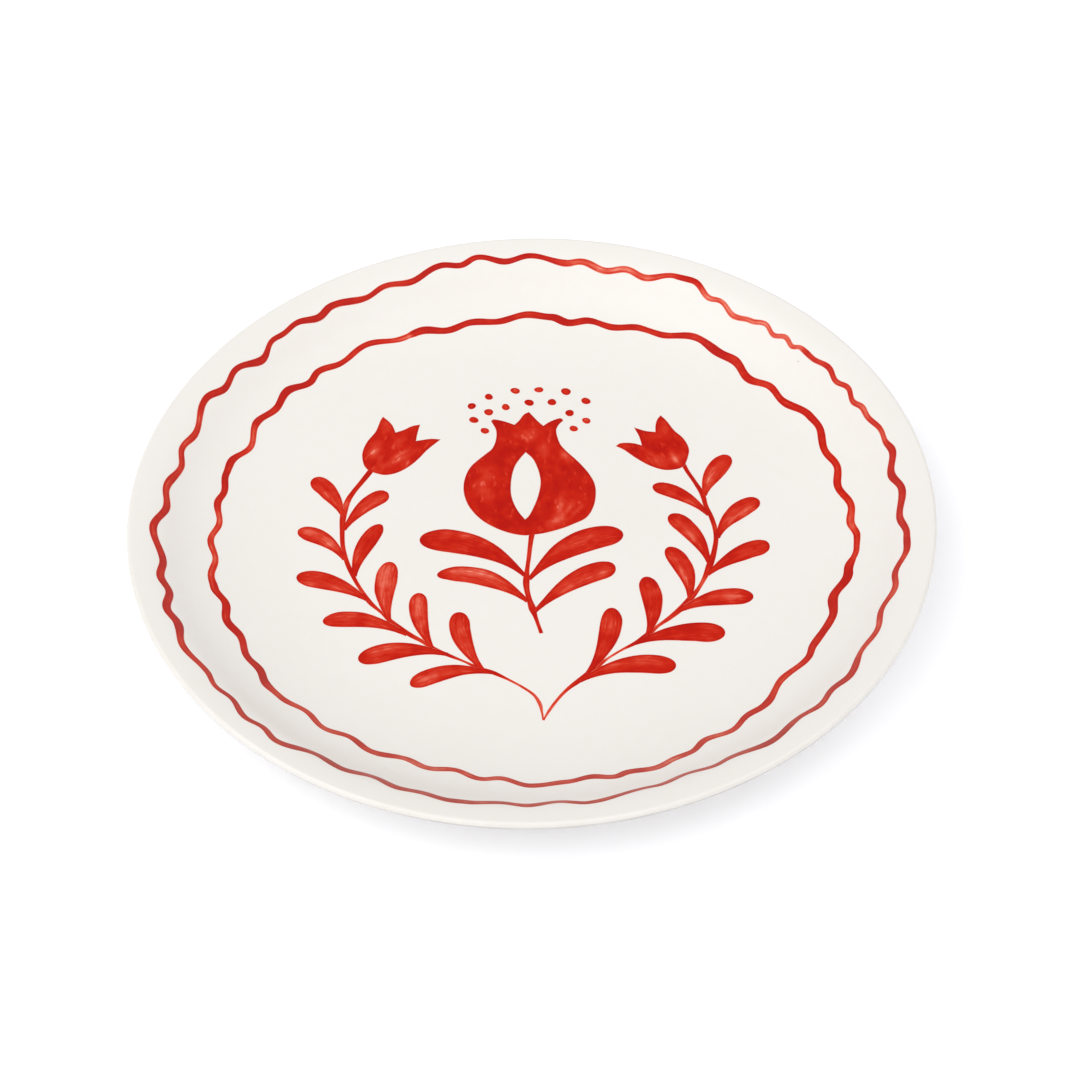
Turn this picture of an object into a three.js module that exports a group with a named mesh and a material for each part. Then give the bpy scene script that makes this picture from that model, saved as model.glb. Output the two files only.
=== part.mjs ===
// A hand painted serving plate: a round fired-clay plate on a turned foot ring, a white glaze
// over face, lip and underside, and the red brush strokes of the decoration, each stroke a
// thin layer of its own on the glaze.
// Millimetres, +Z up, origin at the centre of the foot ring's resting face. The decoration
// reads upright from the -Y side, so +Y is the top of the picture.

import * as THREE from 'three';

// ---- Plate section -----------------------------------------------------------------------
const RIM_RADIUS = 150;
// The lip turns over a tight upper corner and a wider lower one: radius, centre height, angles.
const LIP_CORNERS = [
  [1.85, 25.2, [-80, -40, 0]],
  [1.3, 25.75, [0, 35, 70, 100]],
];
// Face of the plate, from the flat well out to the rim: [radius, height, slope].
const FACE = [
  [0, 7.0, 0], [60, 7.0, 0], [100, 8.8, 0.14], [119.5, 13.1, 0.33],
  [133, 20.2, 0.75], [138, 23.8, 0.58], [143, 25.75, 0.3], [146, 26.5, 0.24], [RIM_RADIUS, 27.3, 0.17],
];
const FACE_RADII = [60, 80, 92, 102, 110, 116, 122, 127, 131, 135, 139, 143, 146];
const UNDERSIDE_RADII = [104, 112, 119, 125, 130, 135, 140, 146];
const WALL_AT_LIP = 3.7;
const WALL_AT_WELL = 4.8;
const WALL_THICKENS_FROM = 146;
const WALL_THICKENS_TO = 108;

// Foot ring, turned from the clay and left bare underneath.
const FOOT_OUTER_RADIUS = 98;
const FOOT_INNER_RADIUS = 91.5;
const FOOT_EDGE = 0.8;
const FOOT_SHOULDER_HEIGHT = 3.6;
const BASE_RECESS = 2.6;
const BASE_GLAZE_RADIUS = 90.6;

const GLAZE_THICKNESS = 0.45;
const LAYER_GAP = 0.1;
const TURNS = 48;

// ---- Brush strokes -------------------------------------------------------------------------
const PAINT_LIFT = 0.35;
const PAINT_THICKNESS = 0.25;
const STROKE_CLEARANCE = 0.3;
const LEAF_ROOT_WIDTH = 1.8;
const LEAF_WIDEST_AT = 0.72;
const LEAF_SWELL = 1.45;
const LEAF_BLUNTNESS = 2.5;
const LEAF_STATIONS = 10;
const STEM_STATIONS = 22;
const SEED_SIDES = 8;
const SEED_DIAMETER = 3.5;
const OUTER_BAND_WIDTH = 2.4;
const INNER_BAND_WIDTH = 2.8;

// Turning points of the two hand drawn wavy bands: [degrees from +X, radius].
const OUTER_BAND = [
  [3, 138.7], [7, 136.5], [11.5, 139.4], [13.8, 138.5], [16, 138.9], [20.2, 137.3], [22, 137.6],
  [24.3, 136.3], [27, 137.9], [29.6, 136.4], [32.6, 137.9], [36, 136.6], [39, 136.9], [40.5, 135.6],
  [42.5, 136.8], [44.6, 135.3], [47, 137], [49.6, 135.6], [52.6, 134.5], [56.3, 137.2], [58, 136.7],
  [62, 140.7], [65, 140.4], [70, 137], [73.3, 138.6], [76.7, 136.9], [81, 139.3], [83.4, 138.3],
  [89.5, 141], [93.4, 139], [98, 141.8], [101, 139.4], [104, 140.7], [110, 137.1], [114, 138.3],
  [118, 136.6], [124, 138.7], [127, 137.1], [131, 139.2], [134, 138.4], [136, 138.7], [140, 135.6],
  [145, 138.9], [149, 137.1], [153, 139.7], [160, 136], [164, 137.5], [167.5, 135.4], [173, 137.9],
  [176.6, 136.5], [182, 140.4], [188.5, 137.3], [192, 139.1], [195, 137.3], [199, 140.2], [202, 138.5],
  [207, 141], [213, 138.9], [216.3, 140.3], [219.5, 138.9], [224, 141.4], [227, 140], [230.2, 141.8],
  [236.5, 137.2], [241, 138.7], [245.5, 136.2], [250, 138.7], [253, 138], [257.5, 139.7], [260, 139.4],
  [264.8, 137.7], [268.6, 139.3], [273, 137.1], [277.3, 139.8], [285.5, 136.5], [288, 137.2],
  [292.6, 135], [297, 137.3], [299.5, 136.5], [306, 139.9], [312, 137.6], [316, 139.6], [319.6, 138],
  [323, 139.7], [329, 136.9], [333.2, 138], [338, 135.9], [342.5, 138], [345.8, 136.6], [350.5, 139.5],
  [353.5, 139.1], [357.8, 136.7],
];
const INNER_BAND = [
  [0.8, 119.5], [4.5, 120.7], [10, 118.1], [15, 120.6], [19, 119.4], [25.5, 122.6], [28, 122.4],
  [34.6, 119.1], [38.4, 120.2], [43, 117.7], [48.3, 120.9], [51, 120.6], [57, 122.4], [64, 118.6],
  [68, 118.9], [73.5, 116.7], [78, 118], [82, 116.2], [85.5, 118.3], [90, 119.3], [96, 117],
  [101, 118.1], [105.7, 116.5], [111, 119.1], [115, 118.4], [122, 121.4], [128.3, 119.3], [133, 121.1],
  [136, 119.4], [140.7, 122.1], [145.3, 120], [150, 121.7], [155.8, 118], [161, 121.2], [164, 120.8],
  [168.2, 119], [171, 120], [175.8, 117.8], [180.5, 120.2], [184.8, 118.4], [189.5, 120.6],
  [192, 120.2], [196, 117.6], [200.2, 119.5], [204.6, 117.4], [209.8, 119.5], [213, 118.6],
  [217.5, 120.8], [221, 120.5], [226.4, 118], [231.2, 120.1], [236, 117.5], [241, 119.8], [247, 117.1],
  [251.2, 118.8], [255.8, 116.7], [260.7, 119.8], [263.8, 118.4], [269.2, 122.5], [275, 121.1],
  [279, 119.7], [283.2, 122.2], [285.3, 121.2], [290, 123.1], [294, 121.4], [296.5, 121.5],
  [300.5, 118.5], [305.2, 120.8], [309.6, 118.5], [313, 119.5], [320.3, 115.7], [326.8, 118.2],
  [330, 117], [337.5, 118.1], [342.5, 115.7], [347.9, 119.1], [349.5, 118.9], [354, 121.2],
  [357, 121.4],
];

// Outlines of the fruit and the two tulips, [x, y] in order round the edge. Each inner list is
// one smooth run; runs meet at a sharp corner.
const POMEGRANATE = [
  [[-14.6, 65.9], [-10, 65.2], [-6, 63.2]],
  [[-6, 63.2], [-3.6, 66.4], [-0.3, 70]],
  [[-0.3, 70], [2.2, 66.4], [5.2, 62.3]],
  [[5.2, 62.3], [8, 64.6], [12.8, 66]],
  [[12.8, 66], [10.2, 60], [11.3, 53], [18.5, 42.5], [24.6, 28], [22, 14.5], [11, 7], [0, 4.2], [-13, 7.7],
    [-24, 20], [-25.3, 34], [-17.5, 47.3], [-13.4, 54.5], [-14.6, 65.9]],
];
const POMEGRANATE_WINDOW = [
  [[-1.8, 48], [-6, 40], [-7.8, 28], [-5.6, 18], [-2.5, 12.3]],
  [[-2.5, 12.3], [1, 19], [3.7, 31], [2, 41.5], [-1.8, 48]],
];
const TULIP_LEFT = [
  [[-57.2, 68.4], [-60.5, 59.5], [-65, 49], [-62.5, 40]],
  [[-62.5, 40], [-56, 37.3], [-46, 42.5], [-34.8, 56]],
  [[-34.8, 56], [-40, 56.3], [-44.2, 55.4]],
  [[-44.2, 55.4], [-43.6, 60], [-42.8, 64.2]],
  [[-42.8, 64.2], [-48, 62.2], [-52.2, 60.1]],
  [[-52.2, 60.1], [-53.8, 64.8], [-57.2, 68.4]],
];
const TULIP_RIGHT = [
  [[51, 66.3], [48.9, 62], [48.6, 57.4]],
  [[48.6, 57.4], [44.5, 58.6], [40.5, 60.2]],
  [[40.5, 60.2], [42.4, 55], [43.1, 50.2]],
  [[43.1, 50.2], [39, 51.8], [33, 50.3]],
  [[33, 50.3], [41, 43.4], [51, 36.9], [59, 38.6]],
  [[59, 38.6], [61.3, 47.5], [57, 56.6], [51, 66.3]],
];

// Stems: centreline points and the stroke's width at either end.
const STEMS = {
  stem_pomegranate: {
    path: [[-0.1, 3.2], [-1.2, -6], [-2.3, -18], [-1.8, -27], [0.5, -36], [2.8, -45.2]],
    width: [2, 1.6],
  },
  stem_left: {
    path: [[-63, 36.6], [-68.5, 27.5], [-71.5, 18], [-71.4, 4], [-67.5, -13], [-59, -30.5], [-44, -46],
      [-25, -58.5], [-10, -67], [0.5, -76.5], [2.8, -87.3]],
    width: [2, 1.2],
  },
  stem_right: {
    path: [[60.2, 35], [64.5, 26], [67.3, 14], [69.2, 2], [66.5, -12.5], [58.6, -30], [47, -42],
      [32, -54.5], [18, -66.8], [10, -75], [6, -81]],
    width: [2, 1.2],
  },
};

// Leaves: root, middle of the centreline, tip and greatest width.
const LEAVES = {
  leaf_pomegranate_upper_left: [[-3, -16.5], [-20.4, -1.5], [-42.3, 2.5], 11.5],
  leaf_pomegranate_upper_right: [[-0.3, -17.5], [15.2, -1.9], [34.4, 3.2], 11.3],
  leaf_pomegranate_lower_left: [[-2, -29.5], [-18.4, -17.1], [-35.6, -15.6], 8.3],
  leaf_pomegranate_lower_right: [[1.5, -33.5], [15.5, -19.9], [31, -13.3], 9.3],
  leaf_left_outer_1: [[-71.3, 15.5], [-76.1, 26.6], [-83.5, 35.4], 7.7],
  leaf_left_outer_2: [[-70.3, -6.5], [-78, 3.5], [-88.4, 7.9], 7.6],
  leaf_left_outer_3: [[-60.9, -27.4], [-74.5, -18.6], [-88, -15.8], 8.6],
  leaf_left_outer_4: [[-46.5, -44.7], [-62.5, -37.2], [-77.4, -38.3], 7.9],
  leaf_left_outer_5: [[-31.5, -54.8], [-48.5, -52.3], [-63.7, -57.6], 8.8],
  leaf_left_outer_6: [[-15.5, -63.9], [-31, -63.1], [-44.7, -69.8], 7.7],
  leaf_left_inner_1: [[-71, 8.8], [-63.4, 20.8], [-54.4, 27.2], 7.3],
  leaf_left_inner_2: [[-66.4, -15.2], [-63.9, -2.4], [-56.9, 11.2], 6.8],
  leaf_left_inner_3: [[-53, -37.8], [-54.9, -23.5], [-52.9, -8.2], 8.3],
  leaf_left_inner_4: [[-37.2, -51.4], [-41.8, -37.4], [-42, -24.2], 7],
  leaf_left_inner_5: [[-18.8, -62.4], [-25.9, -47.8], [-27, -34.2], 7.9],
  leaf_right_outer_1: [[66, 22.8], [69.4, 33.1], [76.4, 43.3], 8.1],
  leaf_right_outer_2: [[69.8, 0.6], [75.9, 11.7], [86.5, 19.2], 8.2],
  leaf_right_outer_3: [[65, -18], [77, -8.4], [89, -4.3], 8.2],
  leaf_right_outer_4: [[52.8, -36.3], [67, -30], [81.3, -30.5], 8.3],
  leaf_right_outer_5: [[36.8, -51.3], [53.3, -46.6], [69.9, -48.2], 9.6],
  leaf_right_outer_6: [[16.4, -68.8], [33.5, -61.7], [51.2, -63.5], 9],
  leaf_right_inner_1: [[67, 12.6], [57.8, 22.8], [46.4, 28.3], 6.8],
  leaf_right_inner_2: [[66, -12.6], [61.2, 1.7], [52.1, 13], 7.8],
  leaf_right_inner_3: [[57.8, -30], [56.9, -16.5], [50.6, -3.8], 7.7],
  leaf_right_inner_4: [[41.5, -47.4], [44.2, -33.2], [41.6, -18.5], 7.9],
  leaf_right_inner_5: [[19, -65.5], [26.8, -49.5], [28.6, -33.6], 8.1],
};

// Centres of the seeds scattered over the fruit's crown, left to right.
const SEEDS = [
  [-22.6, 73.9], [-21.8, 66.3], [-17.5, 60.2], [-16, 70.4], [-15.9, 78.8], [-9.3, 73], [-5.5, 81.8],
  [-0.1, 75.2], [3.8, 82.1], [8.8, 75.2], [14.4, 80.8], [15.6, 69], [17, 60.4], [22, 64.6], [22.1, 75.4],
];

// ---- Surfaces ------------------------------------------------------------------------------
const CLAY = { color: 0xe0cdb4, roughness: 0.85, metalness: 0 };
const GLAZE = { color: 0xf5f1ea, roughness: 0.18, metalness: 0 };
const PAINT = { color: 0xc5281c, roughness: 0.25, metalness: 0 };

// ---- Section of the plate --------------------------------------------------------------------
function faceHeight(radius) {
  const r = Math.min(radius, RIM_RADIUS);
  const next = FACE.findIndex((node) => node[0] >= r);
  if (next <= 0) return FACE[0][1];
  const [r0, z0, s0] = FACE[next - 1];
  const [r1, z1, s1] = FACE[next];
  const span = r1 - r0;
  const t = (r - r0) / span;
  const rise = z0 * (1 + 2 * t) * (1 - t) ** 2 + z1 * t * t * (3 - 2 * t);
  return rise + span * (s0 * t * (1 - t) ** 2 - s1 * t * t * (1 - t));
}

function faceNormal(radius) {
  const step = 0.01;
  const slope = (faceHeight(radius + step) - faceHeight(radius - step)) / (2 * step);
  return new THREE.Vector2(-slope, 1).normalize();
}

function wallThickness(radius) {
  const span = WALL_THICKENS_FROM - WALL_THICKENS_TO;
  const t = THREE.MathUtils.clamp((WALL_THICKENS_FROM - radius) / span, 0, 1);
  return THREE.MathUtils.lerp(WALL_AT_LIP, WALL_AT_WELL, t);
}

// Points of the plate's outer skin moved inwards by depth, from the foot's shoulder under the
// plate, round the lip and in over the face to the axis.
function skin(depth) {
  const points = [];
  for (const radius of UNDERSIDE_RADII) {
    const normal = faceNormal(radius);
    const inset = wallThickness(radius) - depth;
    points.push(new THREE.Vector2(radius, faceHeight(radius)).addScaledVector(normal, -inset));
  }
  for (const [corner, height, angles] of LIP_CORNERS) {
    const reach = corner - depth;
    const centre = RIM_RADIUS - corner;
    for (const angle of angles) {
      const a = THREE.MathUtils.degToRad(angle);
      points.push(new THREE.Vector2(centre + reach * Math.cos(a), height + reach * Math.sin(a)));
    }
  }
  for (const radius of [...FACE_RADII].reverse()) {
    points.push(new THREE.Vector2(radius, faceHeight(radius)).addScaledVector(faceNormal(radius), -depth));
  }
  points.push(new THREE.Vector2(0, faceHeight(0) - depth));
  return points;
}

function revolve(profile) {
  return new THREE.LatheGeometry(profile, TURNS).rotateX(Math.PI / 2);
}

function bodyProfile() {
  const recess = BASE_RECESS + GLAZE_THICKNESS + LAYER_GAP;
  return [
    new THREE.Vector2(0, recess),
    new THREE.Vector2(FOOT_INNER_RADIUS - FOOT_EDGE / 2, recess),
    new THREE.Vector2(FOOT_INNER_RADIUS, FOOT_EDGE),
    new THREE.Vector2(FOOT_INNER_RADIUS + FOOT_EDGE, 0),
    new THREE.Vector2(FOOT_OUTER_RADIUS - FOOT_EDGE, 0),
    new THREE.Vector2(FOOT_OUTER_RADIUS, FOOT_EDGE),
    new THREE.Vector2(FOOT_OUTER_RADIUS + FOOT_EDGE, FOOT_SHOULDER_HEIGHT),
    ...skin(GLAZE_THICKNESS + LAYER_GAP),
  ];
}

function glazeCoatProfile() {
  return [...skin(GLAZE_THICKNESS).reverse(), ...skin(0)];
}

function baseGlazeProfile() {
  const top = BASE_RECESS + GLAZE_THICKNESS;
  return [
    new THREE.Vector2(0, BASE_RECESS),
    new THREE.Vector2(BASE_GLAZE_RADIUS, BASE_RECESS),
    new THREE.Vector2(BASE_GLAZE_RADIUS, top),
    new THREE.Vector2(0, top),
  ];
}

// ---- Strokes laid on the face ------------------------------------------------------------------
function toVectors(pairs) {
  return pairs.map(([x, y]) => new THREE.Vector2(x, y));
}

// Closed outline through smooth runs that meet at corners.
function outlineOf(runs) {
  const points = [];
  for (const run of runs) {
    const curve = new THREE.SplineCurve(toVectors(run));
    const steps = (run.length - 1) * 2;
    points.push(...curve.getPoints(steps).slice(0, -1));
  }
  return THREE.ShapeUtils.isClockWise(points) ? points.reverse() : points;
}

// Outline of a stroke that follows centre(t) with half width halfWidth(t), t from start to 1.
function strokeOutline(centre, halfWidth, stations, start) {
  const left = [];
  const right = [];
  for (let i = 0; i <= stations; i += 1) {
    const t = start + (1 - start) * (i / stations);
    const along = centre.getTangent(t);
    const across = new THREE.Vector2(-along.y, along.x).multiplyScalar(halfWidth(t));
    const middle = centre.getPoint(t);
    left.push(middle.clone().add(across));
    if (across.length() > 0) right.push(middle.clone().sub(across));
  }
  return [...right, ...left.reverse()];
}

function leafHalfWidth(t, width) {
  if (t >= 1) return 0;
  if (t < LEAF_WIDEST_AT) {
    const swell = Math.sin((t / LEAF_WIDEST_AT) * (Math.PI / 2)) ** LEAF_SWELL;
    return THREE.MathUtils.lerp(LEAF_ROOT_WIDTH, width, swell) / 2;
  }
  const s = (t - LEAF_WIDEST_AT) / (1 - LEAF_WIDEST_AT);
  return (width / 2) * Math.sqrt(1 - s ** LEAF_BLUNTNESS);
}

// A quadratic curve from root to tip that passes through the middle point.
function leafCentreline(root, middle, tip) {
  const [a, m, b] = toVectors([root, middle, tip]);
  const pull = m.clone().multiplyScalar(2).sub(a.clone().add(b).multiplyScalar(0.5));
  return new THREE.QuadraticBezierCurve(a, pull, b);
}

function distanceToEdge(point, a, b) {
  const edge = b.clone().sub(a);
  const t = THREE.MathUtils.clamp(point.clone().sub(a).dot(edge) / edge.lengthSq(), 0, 1);
  return point.distanceTo(a.clone().addScaledVector(edge, t));
}

function isInside(point, outline) {
  let inside = false;
  outline.forEach((a, i) => {
    const b = outline[(i + 1) % outline.length];
    const crosses = (a.y > point.y) !== (b.y > point.y);
    if (crosses && point.x < a.x + ((b.x - a.x) * (point.y - a.y)) / (b.y - a.y)) inside = !inside;
  });
  return inside;
}

function pointsClear(points, outline) {
  const clearOfEdges = (point) => outline.every((a, i) => {
    const b = outline[(i + 1) % outline.length];
    return distanceToEdge(point, a, b) > STROKE_CLEARANCE;
  });
  return points.every((point) => !isInside(point, outline) && clearOfEdges(point));
}

function clearOfAll(outline, others) {
  return others.every((other) => pointsClear(outline, other) && pointsClear(other, outline));
}

// A leaf's outline, its root cut back until it stands clear of the strokes already laid.
function leafOutline([root, middle, tip, width], laid) {
  const centre = leafCentreline(root, middle, tip);
  const step = 0.01;
  let start = 0;
  let outline = [];
  do {
    outline = strokeOutline(centre, (t) => leafHalfWidth(t, width), LEAF_STATIONS, start);
    start += step;
  } while (!clearOfAll(outline, laid) && start < LEAF_WIDEST_AT);
  return outline;
}

function stemOutline({ path, width }) {
  const centre = new THREE.SplineCurve(toVectors(path));
  return strokeOutline(centre, (t) => THREE.MathUtils.lerp(width[0], width[1], t) / 2, STEM_STATIONS, 0);
}

// A thin layer over the face inside the outline and outside the holes.
function layerGeometry(outline, holes = []) {
  const loops = [outline, ...holes.map((hole) => [...hole].reverse())];
  const flat = loops.flat();
  const count = flat.length;
  const positions = [];
  for (const lift of [PAINT_LIFT, PAINT_LIFT + PAINT_THICKNESS]) {
    for (const point of flat) positions.push(point.x, point.y, faceHeight(point.length()) + lift);
  }
  const index = [];
  for (const [a, b, c] of THREE.ShapeUtils.triangulateShape(outline, loops.slice(1))) {
    index.push(a, c, b, a + count, b + count, c + count);
  }
  let first = 0;
  for (const loop of loops) {
    for (let i = 0; i < loop.length; i += 1) {
      const a = first + i;
      const b = first + ((i + 1) % loop.length);
      index.push(a, b, b + count, a, b + count, a + count);
    }
    first += loop.length;
  }
  return indexedGeometry(positions, index);
}

// A closed band round the face, its radius swinging smoothly between the turning points.
function bandGeometry(turningPoints, width) {
  const stations = [];
  turningPoints.forEach(([angle, radius], i) => {
    const [nextAngle, nextRadius] = turningPoints[(i + 1) % turningPoints.length];
    const halfway = angle + (((nextAngle - angle) + 360) % 360) / 2;
    stations.push([angle, radius], [halfway, (radius + nextRadius) / 2]);
  });
  const corners = [[-0.5, 0], [0.5, 0], [0.5, 1], [-0.5, 1]];
  const positions = [];
  const index = [];
  stations.forEach(([angle, radius], i) => {
    const a = THREE.MathUtils.degToRad(angle);
    const next = (i + 1) % stations.length;
    corners.forEach(([across, up], k) => {
      const r = radius + across * width;
      const z = faceHeight(r) + PAINT_LIFT + up * PAINT_THICKNESS;
      positions.push(r * Math.cos(a), r * Math.sin(a), z);
      const here = 4 * i + k;
      const hereNext = 4 * i + ((k + 1) % 4);
      const there = 4 * next + k;
      const thereNext = 4 * next + ((k + 1) % 4);
      index.push(here, there, thereNext, here, thereNext, hereNext);
    });
  });
  return indexedGeometry(positions, index);
}

function indexedGeometry(positions, index) {
  const geometry = new THREE.BufferGeometry();
  geometry.setAttribute('position', new THREE.Float32BufferAttribute(positions, 3));
  geometry.setIndex(index);
  geometry.computeVertexNormals();
  return geometry;
}

function seedOutline([x, y]) {
  const reach = SEED_DIAMETER / 2;
  const points = [];
  for (let i = 0; i < SEED_SIDES; i += 1) {
    const a = (2 * Math.PI * i) / SEED_SIDES;
    points.push(new THREE.Vector2(x + reach * Math.cos(a), y + reach * Math.sin(a)));
  }
  return points;
}

// ---- Assembly ----------------------------------------------------------------------------------
const plate = new THREE.Group();
plate.name = 'hand_painted_plate';

function add(name, geometry, surface) {
  const mesh = new THREE.Mesh(geometry, new THREE.MeshStandardMaterial(surface));
  mesh.name = name;
  plate.add(mesh);
}

add('plate_body', revolve(bodyProfile()), CLAY);
add('glaze_coat', revolve(glazeCoatProfile()), GLAZE);
add('base_glaze', revolve(baseGlazeProfile()), GLAZE);
add('outer_wavy_band', bandGeometry(OUTER_BAND, OUTER_BAND_WIDTH), PAINT);
add('inner_wavy_band', bandGeometry(INNER_BAND, INNER_BAND_WIDTH), PAINT);

const window = outlineOf(POMEGRANATE_WINDOW);
const laid = [];
const fruit = outlineOf(POMEGRANATE);
laid.push(fruit);
add('pomegranate', layerGeometry(fruit, [window]), PAINT);
for (const [name, runs] of [['tulip_left', TULIP_LEFT], ['tulip_right', TULIP_RIGHT]]) {
  const outline = outlineOf(runs);
  laid.push(outline);
  add(name, layerGeometry(outline), PAINT);
}
for (const [name, stem] of Object.entries(STEMS)) {
  const outline = stemOutline(stem);
  laid.push(outline);
  add(name, layerGeometry(outline), PAINT);
}
for (const [name, leaf] of Object.entries(LEAVES)) {
  const outline = leafOutline(leaf, laid);
  laid.push(outline);
  add(name, layerGeometry(outline), PAINT);
}
SEEDS.forEach((centre, i) => {
  const number = String(i + 1).padStart(2, '0');
  add(`seed_${number}`, layerGeometry(seedOutline(centre)), PAINT);
});

export default plate;
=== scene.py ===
"""A hand painted serving plate: fired clay on a foot ring, white glaze, red brush strokes.

Lengths in the tables are millimetres in the part's frame; the meshes are made in metres.
"""
import math

import bpy
import numpy as np
from mathutils import Matrix, Vector
from mathutils.geometry import delaunay_2d_cdt


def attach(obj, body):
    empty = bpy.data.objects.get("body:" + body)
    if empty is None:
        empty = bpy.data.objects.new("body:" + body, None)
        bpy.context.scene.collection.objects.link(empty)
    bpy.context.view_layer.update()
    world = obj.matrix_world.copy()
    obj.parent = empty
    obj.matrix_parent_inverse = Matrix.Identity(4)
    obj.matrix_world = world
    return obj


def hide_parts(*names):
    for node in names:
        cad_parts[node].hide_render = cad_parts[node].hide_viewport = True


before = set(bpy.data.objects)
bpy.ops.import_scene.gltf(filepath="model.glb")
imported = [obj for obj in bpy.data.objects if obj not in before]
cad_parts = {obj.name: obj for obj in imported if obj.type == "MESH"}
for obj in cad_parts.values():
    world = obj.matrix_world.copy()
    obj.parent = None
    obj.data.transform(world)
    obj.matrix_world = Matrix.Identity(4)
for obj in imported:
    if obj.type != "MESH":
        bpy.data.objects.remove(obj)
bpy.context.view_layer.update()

MM = 0.001
rng = np.random.default_rng(17)

# ---- Plate section, as in the CAD ------------------------------------------------------------
RIM_RADIUS = 150.0
LIP_HEIGHT = 25.2
# The lip's outer half and its tighter top: (radius, height of the centre, degrees from and to).
LIP_ARCS = [(1.85, LIP_HEIGHT, -82, 0), (1.3, 25.75, 0, 100)]
# Knots of the face: (radius, height, slope).
FACE = np.array([
    (0, 7.0, 0), (60, 7.0, 0), (100, 8.8, 0.14), (119.5, 13.1, 0.33),
    (133, 20.2, 0.75), (138, 23.8, 0.58), (143, 25.75, 0.3), (146, 26.5, 0.24), (150, 27.3, 0.17)])
WALL_AT_LIP = 3.7
WALL_AT_WELL = 4.8
WALL_THICKENS_FROM = 146.0
WALL_THICKENS_TO = 108.0
UNDERSIDE_START = 104.0
FOOT_OUTER_RADIUS = 98.0
FOOT_INNER_RADIUS = 91.5
FOOT_EDGE = 0.8
FOOT_SHOULDER_HEIGHT = 3.6
BASE_RECESS = 2.6
BASE_GLAZE_RADIUS = 90.6
GLAZE_THICKNESS = 0.45
LAYER_GAP = 0.1
TURNS = 360

# What the thrower's hands left: slow waves round the rim (how many, height, phase) and the rings
# turned into the underside.
THROWN_WAVES = [(2, 0.16, 0.7), (3, 0.09, 2.1), (5, 0.05, 0)]
THROWN_FROM = 95.0
TURNED_RING_DEPTH = 0.05
TURNED_RINGS_PER_MM = 1.35

# ---- Brush work ------------------------------------------------------------------------------
PAINT_EDGE_LIFT = 0.02
PAINT_SINK = 0.08
PAINT_RELIEF = 0.07
LEAF_ROOT_WIDTH = 1.7
LEAF_SWELL = 1.45
LEAF_LIFT = 0.05
LEAF_MERGING = 5.0
FILL_LIFT = 0.03
OUTLINE_SPACING = 0.7

# Turning points of the wavy bands: (degrees from +X, radius).
OUTER_BAND = [
    (3, 138.7), (7, 136.5), (11.5, 139.4), (13.8, 138.5), (16, 138.9), (20.2, 137.3), (22, 137.6),
    (24.3, 136.3), (27, 137.9), (29.6, 136.4), (32.6, 137.9), (36, 136.6), (39, 136.9),
    (40.5, 135.6), (42.5, 136.8), (44.6, 135.3), (47, 137), (49.6, 135.6), (52.6, 134.5),
    (56.3, 137.2), (58, 136.7), (62, 140.7), (65, 140.4), (70, 137), (73.3, 138.6), (76.7, 136.9),
    (81, 139.3), (83.4, 138.3), (89.5, 141), (93.4, 139), (98, 141.8), (101, 139.4), (104, 140.7),
    (110, 137.1), (114, 138.3), (118, 136.6), (124, 138.7), (127, 137.1), (131, 139.2),
    (134, 138.4), (136, 138.7), (140, 135.6), (145, 138.9), (149, 137.1), (153, 139.7),
    (160, 136), (164, 137.5), (167.5, 135.4), (173, 137.9), (176.6, 136.5), (182, 140.4),
    (188.5, 137.3), (192, 139.1), (195, 137.3), (199, 140.2), (202, 138.5), (207, 141),
    (213, 138.9), (216.3, 140.3), (219.5, 138.9), (224, 141.4), (227, 140), (230.2, 141.8),
    (236.5, 137.2), (241, 138.7), (245.5, 136.2), (250, 138.7), (253, 138), (257.5, 139.7),
    (260, 139.4), (264.8, 137.7), (268.6, 139.3), (273, 137.1), (277.3, 139.8), (285.5, 136.5),
    (288, 137.2), (292.6, 135), (297, 137.3), (299.5, 136.5), (306, 139.9), (312, 137.6),
    (316, 139.6), (319.6, 138), (323, 139.7), (329, 136.9), (333.2, 138), (338, 135.9),
    (342.5, 138), (345.8, 136.6), (350.5, 139.5), (353.5, 139.1), (357.8, 136.7)]
INNER_BAND = [
    (0.8, 119.5), (4.5, 120.7), (10, 118.1), (15, 120.6), (19, 119.4), (25.5, 122.6), (28, 122.4),
    (34.6, 119.1), (38.4, 120.2), (43, 117.7), (48.3, 120.9), (51, 120.6), (57, 122.4),
    (64, 118.6), (68, 118.9), (73.5, 116.7), (78, 118), (82, 116.2), (85.5, 118.3), (90, 119.3),
    (96, 117), (101, 118.1), (105.7, 116.5), (111, 119.1), (115, 118.4), (122, 121.4),
    (128.3, 119.3), (133, 121.1), (136, 119.4), (140.7, 122.1), (145.3, 120), (150, 121.7),
    (155.8, 118), (161, 121.2), (164, 120.8), (168.2, 119), (171, 120), (175.8, 117.8),
    (180.5, 120.2), (184.8, 118.4), (189.5, 120.6), (192, 120.2), (196, 117.6), (200.2, 119.5),
    (204.6, 117.4), (209.8, 119.5), (213, 118.6), (217.5, 120.8), (221, 120.5), (226.4, 118),
    (231.2, 120.1), (236, 117.5), (241, 119.8), (247, 117.1), (251.2, 118.8), (255.8, 116.7),
    (260.7, 119.8), (263.8, 118.4), (269.2, 122.5), (275, 121.1), (279, 119.7), (283.2, 122.2),
    (285.3, 121.2), (290, 123.1), (294, 121.4), (296.5, 121.5), (300.5, 118.5), (305.2, 120.8),
    (309.6, 118.5), (313, 119.5), (320.3, 115.7), (326.8, 118.2), (330, 117), (337.5, 118.1),
    (342.5, 115.7), (347.9, 119.1), (349.5, 118.9), (354, 121.2), (357, 121.4)]
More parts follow.
